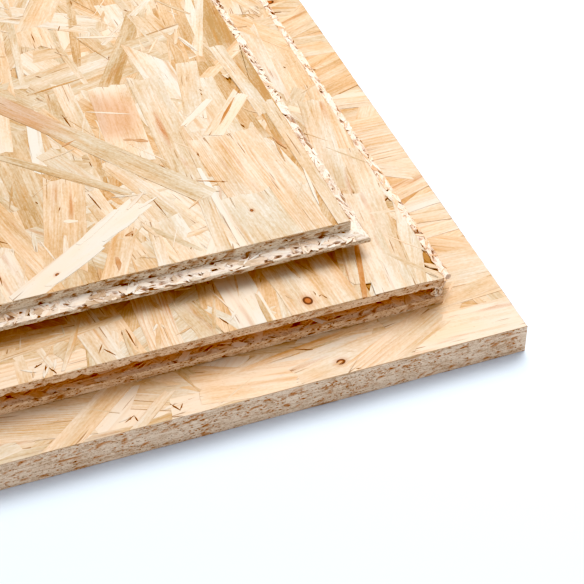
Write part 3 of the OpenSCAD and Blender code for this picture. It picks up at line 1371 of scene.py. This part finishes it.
# Those of the middle panel.
MIDDLE_STRANDS = hand_laid(
    (-220, 32, 54, 12, 175, Look.ORANGE),
    (-188, 12, 64, 16, 100, Look.CREAM),
    (-156, 14, 66, 19, 88, Look.STRIPED),
    (-135, 14, 34, 14, 102, Look.TAN),
    (-107, 18, 70, 21, 92, Look.PALE),
    (-209, 26, 76, 6, 8, Look.STRAW),
    (-201, 22, 46, 4, 63, Look.CREAM),
    (-70, 26, 100, 40, 95, Look.CREAM, -17, 7, 2.4),
    (-5, 150, 90, 14, 84, Look.ORANGE),
    (-8, 74, 34, 9, 80, Look.ORANGE),
    (-4, 40, 100, 13, 72, Look.CREAM),
    (-25, 96, 175, 17, 79, Look.STRAW),
    (-13, 62, 130, 15, 82, Look.STRAW),
    (-27, 34, 110, 19, 84, Look.CREAM),
    (-39, 25, 62, 4, 74, Look.RUSSET, 0, 0, 26),
    (-9, 64, 20, 3, 170, Look.CREAM),
    (-12, 16, 34, 4, 124, Look.TAN),
    (-3, 12, 13, 4, 140, Look.ORANGE),
    (-228, 8, 9, 2, 150, Look.PALE),
    (-220, 4, 11, 3, 60, Look.PALE),
    (-214, 8, 9, 2.5, 65, Look.BONE),
    (-226, 5, 8, 1.5, 75, Look.RUSSET),
    (-219, 7, 9, 1.2, 70, Look.CRACK),
    (-223, 10, 7, 1, 20, Look.CRACK),
    (-216, 4, 6, 1, 110, Look.CRACK),
    (-172, 14, 15, 1, 95, Look.CRACK),
    (-170, 9, 9, 2, 80, Look.RUSSET),
    (-186, 8, 12, 1, 125, Look.CRACK),
    (-189, 11, 9, 0.9, 60, Look.CRACK),
    (-144, 9, 12, 2, 20, Look.RUSSET),
    (-122, 8, 10, 1, 115, Look.CRACK),
    (-116, 12, 12, 2, 50, Look.PALE),
    (-68, 10, 6, 0.8, 30, Look.CRACK),
    (-66, 8, 5, 0.8, 120, Look.CRACK),
    (-70, 12, 5, 0.7, 100, Look.CRACK),
)

# Those of the top panel.
TOP_STRANDS = hand_laid(
    (-184, 12, 56, 17, 95, Look.PINK),
    (-172, 46, 84, 14, 105, Look.ORANGE),
    (-158, 150, 50, 11, 80, Look.PINK),
    (-143, 130, 62, 9, 82, Look.PALE),
    (-127, 134, 56, 14, 110, Look.ORANGE),
    (-115, 147, 76, 12, 90, Look.STRAW),
    (-131, 98, 48, 14, 114, Look.STRAW),
    (-92, 132, 80, 25, 86, Look.PINK, 8, 6, 10.2),
    (-43, 150, 60, 14, 78, Look.CREAM),
    (-12, 150, 80, 10, 94, Look.STRAW),
    (-146, 54, 80, 24, 76, Look.ORANGE),
    (-100, 50, 52, 10, 101, Look.STRAW),
    (-96, 62, 80, 12, 111, Look.STRAW),
    (-126, 16, 56, 14, 66, Look.ORANGE),
    (-68, 118, 108, 21, 88, Look.STRAW),
    (-90, 14, 50, 16, 96, Look.CREAM),
    (-104, 14, 50, 8, 84, Look.CREAM),
    (-96, 22, 46, 5, 127, Look.TAN),
    (-81, 21, 15, 6, 12, Look.ORANGE),
    (-76, 8, 24, 7, 60, Look.PALE),
    (-70, 26, 60, 9, 86, Look.STRAW),
    (-31, 118, 48, 12, 50, Look.PINK),
    (-30, 121, 30, 3, 54, Look.RED, 0, 0, 26),
    (-47, 126, 34, 6, 42, Look.PALE),
    (-35, 38, 128, 42, 95, Look.STRIPED),
    (-44, 13, 62, 32, 95, Look.BLEACHED, 15, 2, 0.9),
    (-62, 34, 84, 5, 91, Look.PALE),
    (-4, 60, 128, 9, 91, Look.STRAW),
    (-92, 114, 9, 3, 164, Look.RED, 0, 0, 13),
    (-86, 111, 10, 4, 150, Look.RED, 0, 0, 13),
    (-144, 27, 104, 15, 35, Look.BONE, -22, -2, 1.1),
    (-136, 95, 90, 7, 136, Look.TAN),
    (-111, 113, 162, 15, 125, Look.TAN, 64, 0, 16),
    (-121, 145, 16, 0.9, 98, Look.CRACK),
    (-119, 99, 6, 1, 95, Look.CRACK),
    (-59, 87, 7, 1.4, 88, Look.CRACK),
    (-81, 82, 8, 0.8, 115, Look.CRACK),
    (-126, 66, 17, 0.9, 101, Look.CRACK),
    (-94, 49, 18, 0.8, 100, Look.CRACK),
    (-26, 104, 5, 1.3, 100, Look.CRACK),
    (-54, 58, 5, 1.4, 121, Look.CRACK),
    (-59, 60, 19, 1.4, 157, Look.RED, 0, 0, 18),
    (-117, 31, 9, 3, 31, Look.RED, 0, 0, 13),
    (-115, 30, 5, 1.4, 50, Look.CRACK),
    (-105, 32, 18, 4, 109, Look.ORANGE),
    (-107, 64, 22, 1.8, 169, Look.CREAM),
    (-74, 45, 17, 1.6, 36, Look.ORANGE),
    (-133, 114, 22, 2, 14, Look.CREAM),
    (-125, 123, 11, 2, 22, Look.RED, 0, 0, 13),
    (-128, 11, 14, 4, 83, Look.RED, 0, 0, 13),
    (-140, 6, 10, 2, 80, Look.RED),
    (-12, 81, 14, 2.5, 108, Look.RED, 0, 0, 13),
    (-9, 37, 36, 2.5, 84, Look.PALE),
    (-131, 43, 38, 5, 38, Look.BONE),
    (-150, 16, 44, 6, 31, Look.BONE),
    (-104, 59, 20, 4, 43, Look.BONE),
    (-99, 54, 16, 3, 27, Look.BONE),
    (-118, 38, 30, 4, 30, Look.BONE),
)


def main() -> None:
    """Builds the panels from the bottom up, and then the studio."""
    logging.basicConfig(level=logging.INFO, format="%(name)s %(message)s")
    grain, sawn = build_grain_group(), build_sawn_group()
    low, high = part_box("bottom_panel")
    middle_low, middle_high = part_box("middle_panel")
    profile = EdgeProfile(tongue_l=(middle_high.x - middle_low.x) - (high.x - low.x))

    tones = {
        "pale": (0.745, 0.655, 0.555, 1), "middle": (0.635, 0.495, 0.35, 1),
        "deep": (0.475, 0.295, 0.145, 1),
    }
    square = dict.fromkeys(Side, EdgeKind.SQUARE)
    flipped = {
        Side.FRONT: EdgeKind.GROOVE, Side.RIGHT: EdgeKind.TONGUE,
        Side.BACK: EdgeKind.TONGUE, Side.LEFT: EdgeKind.GROOVE,
    }
    upright = {
        Side.FRONT: EdgeKind.TONGUE, Side.RIGHT: EdgeKind.TONGUE,
        Side.BACK: EdgeKind.GROOVE, Side.LEFT: EdgeKind.GROOVE,
    }
    panels = (
        Panel(
            "bottom_panel", "square_board", profile, square, 4, 11,
            StrandFinish(
                "square_board_strands", pale=(0.75, 0.64, 0.53, 1), middle=(0.66, 0.51, 0.36, 1),
                deep=(0.53, 0.34, 0.18, 1),
            ),
            EdgeFinish(
                "square_board_edge", light=(0.82, 0.67, 0.55, 1), dark=(0.43, 0.29, 0.195, 1),
                pit=(0.42, 0.15, 0.04, 1), pits=0.75,
            ),
            named=BOTTOM_STRANDS,
            whole_under=True,
            splinters=0.35,
        ),
        Panel(
            "middle_panel", "flipped_board", profile, flipped, 90, 23,
            StrandFinish("flipped_board_strands", **tones),
            EdgeFinish(
                "flipped_board_edge", light=(0.82, 0.63, 0.49, 1), dark=(0.45, 0.27, 0.16, 1),
                pit=(0.30, 0.09, 0.02, 1), pits=0.8,
            ),
            StrandFinish(
                "flipped_board_chips", pale=(0.84, 0.74, 0.65, 1), middle=(0.74, 0.56, 0.41, 1),
                deep=(0.54, 0.31, 0.15, 1),
            ),
            named=MIDDLE_STRANDS,
            torn_end=True,
        ),
        Panel(
            "top_panel", "board", profile, upright, 90, 37,
            StrandFinish("board_strands", **tones),
            EdgeFinish(
                "board_edge", light=(0.77, 0.65, 0.53, 1), dark=(0.43, 0.31, 0.215, 1),
                pit=(0.34, 0.13, 0.04, 1), pits=0.65,
            ),
            StrandFinish(
                "board_chips", pale=(0.82, 0.73, 0.64, 1), middle=(0.70, 0.56, 0.45, 1),
                deep=(0.44, 0.28, 0.16, 1),
            ),
            whole_top=True,
            named=TOP_STRANDS,
        ),
    )
    for panel in panels:
        panel.build(grain, sawn)
    Studio((high.x, low.y, 0.0)).build()


if __name__ == "__main__":
    main()
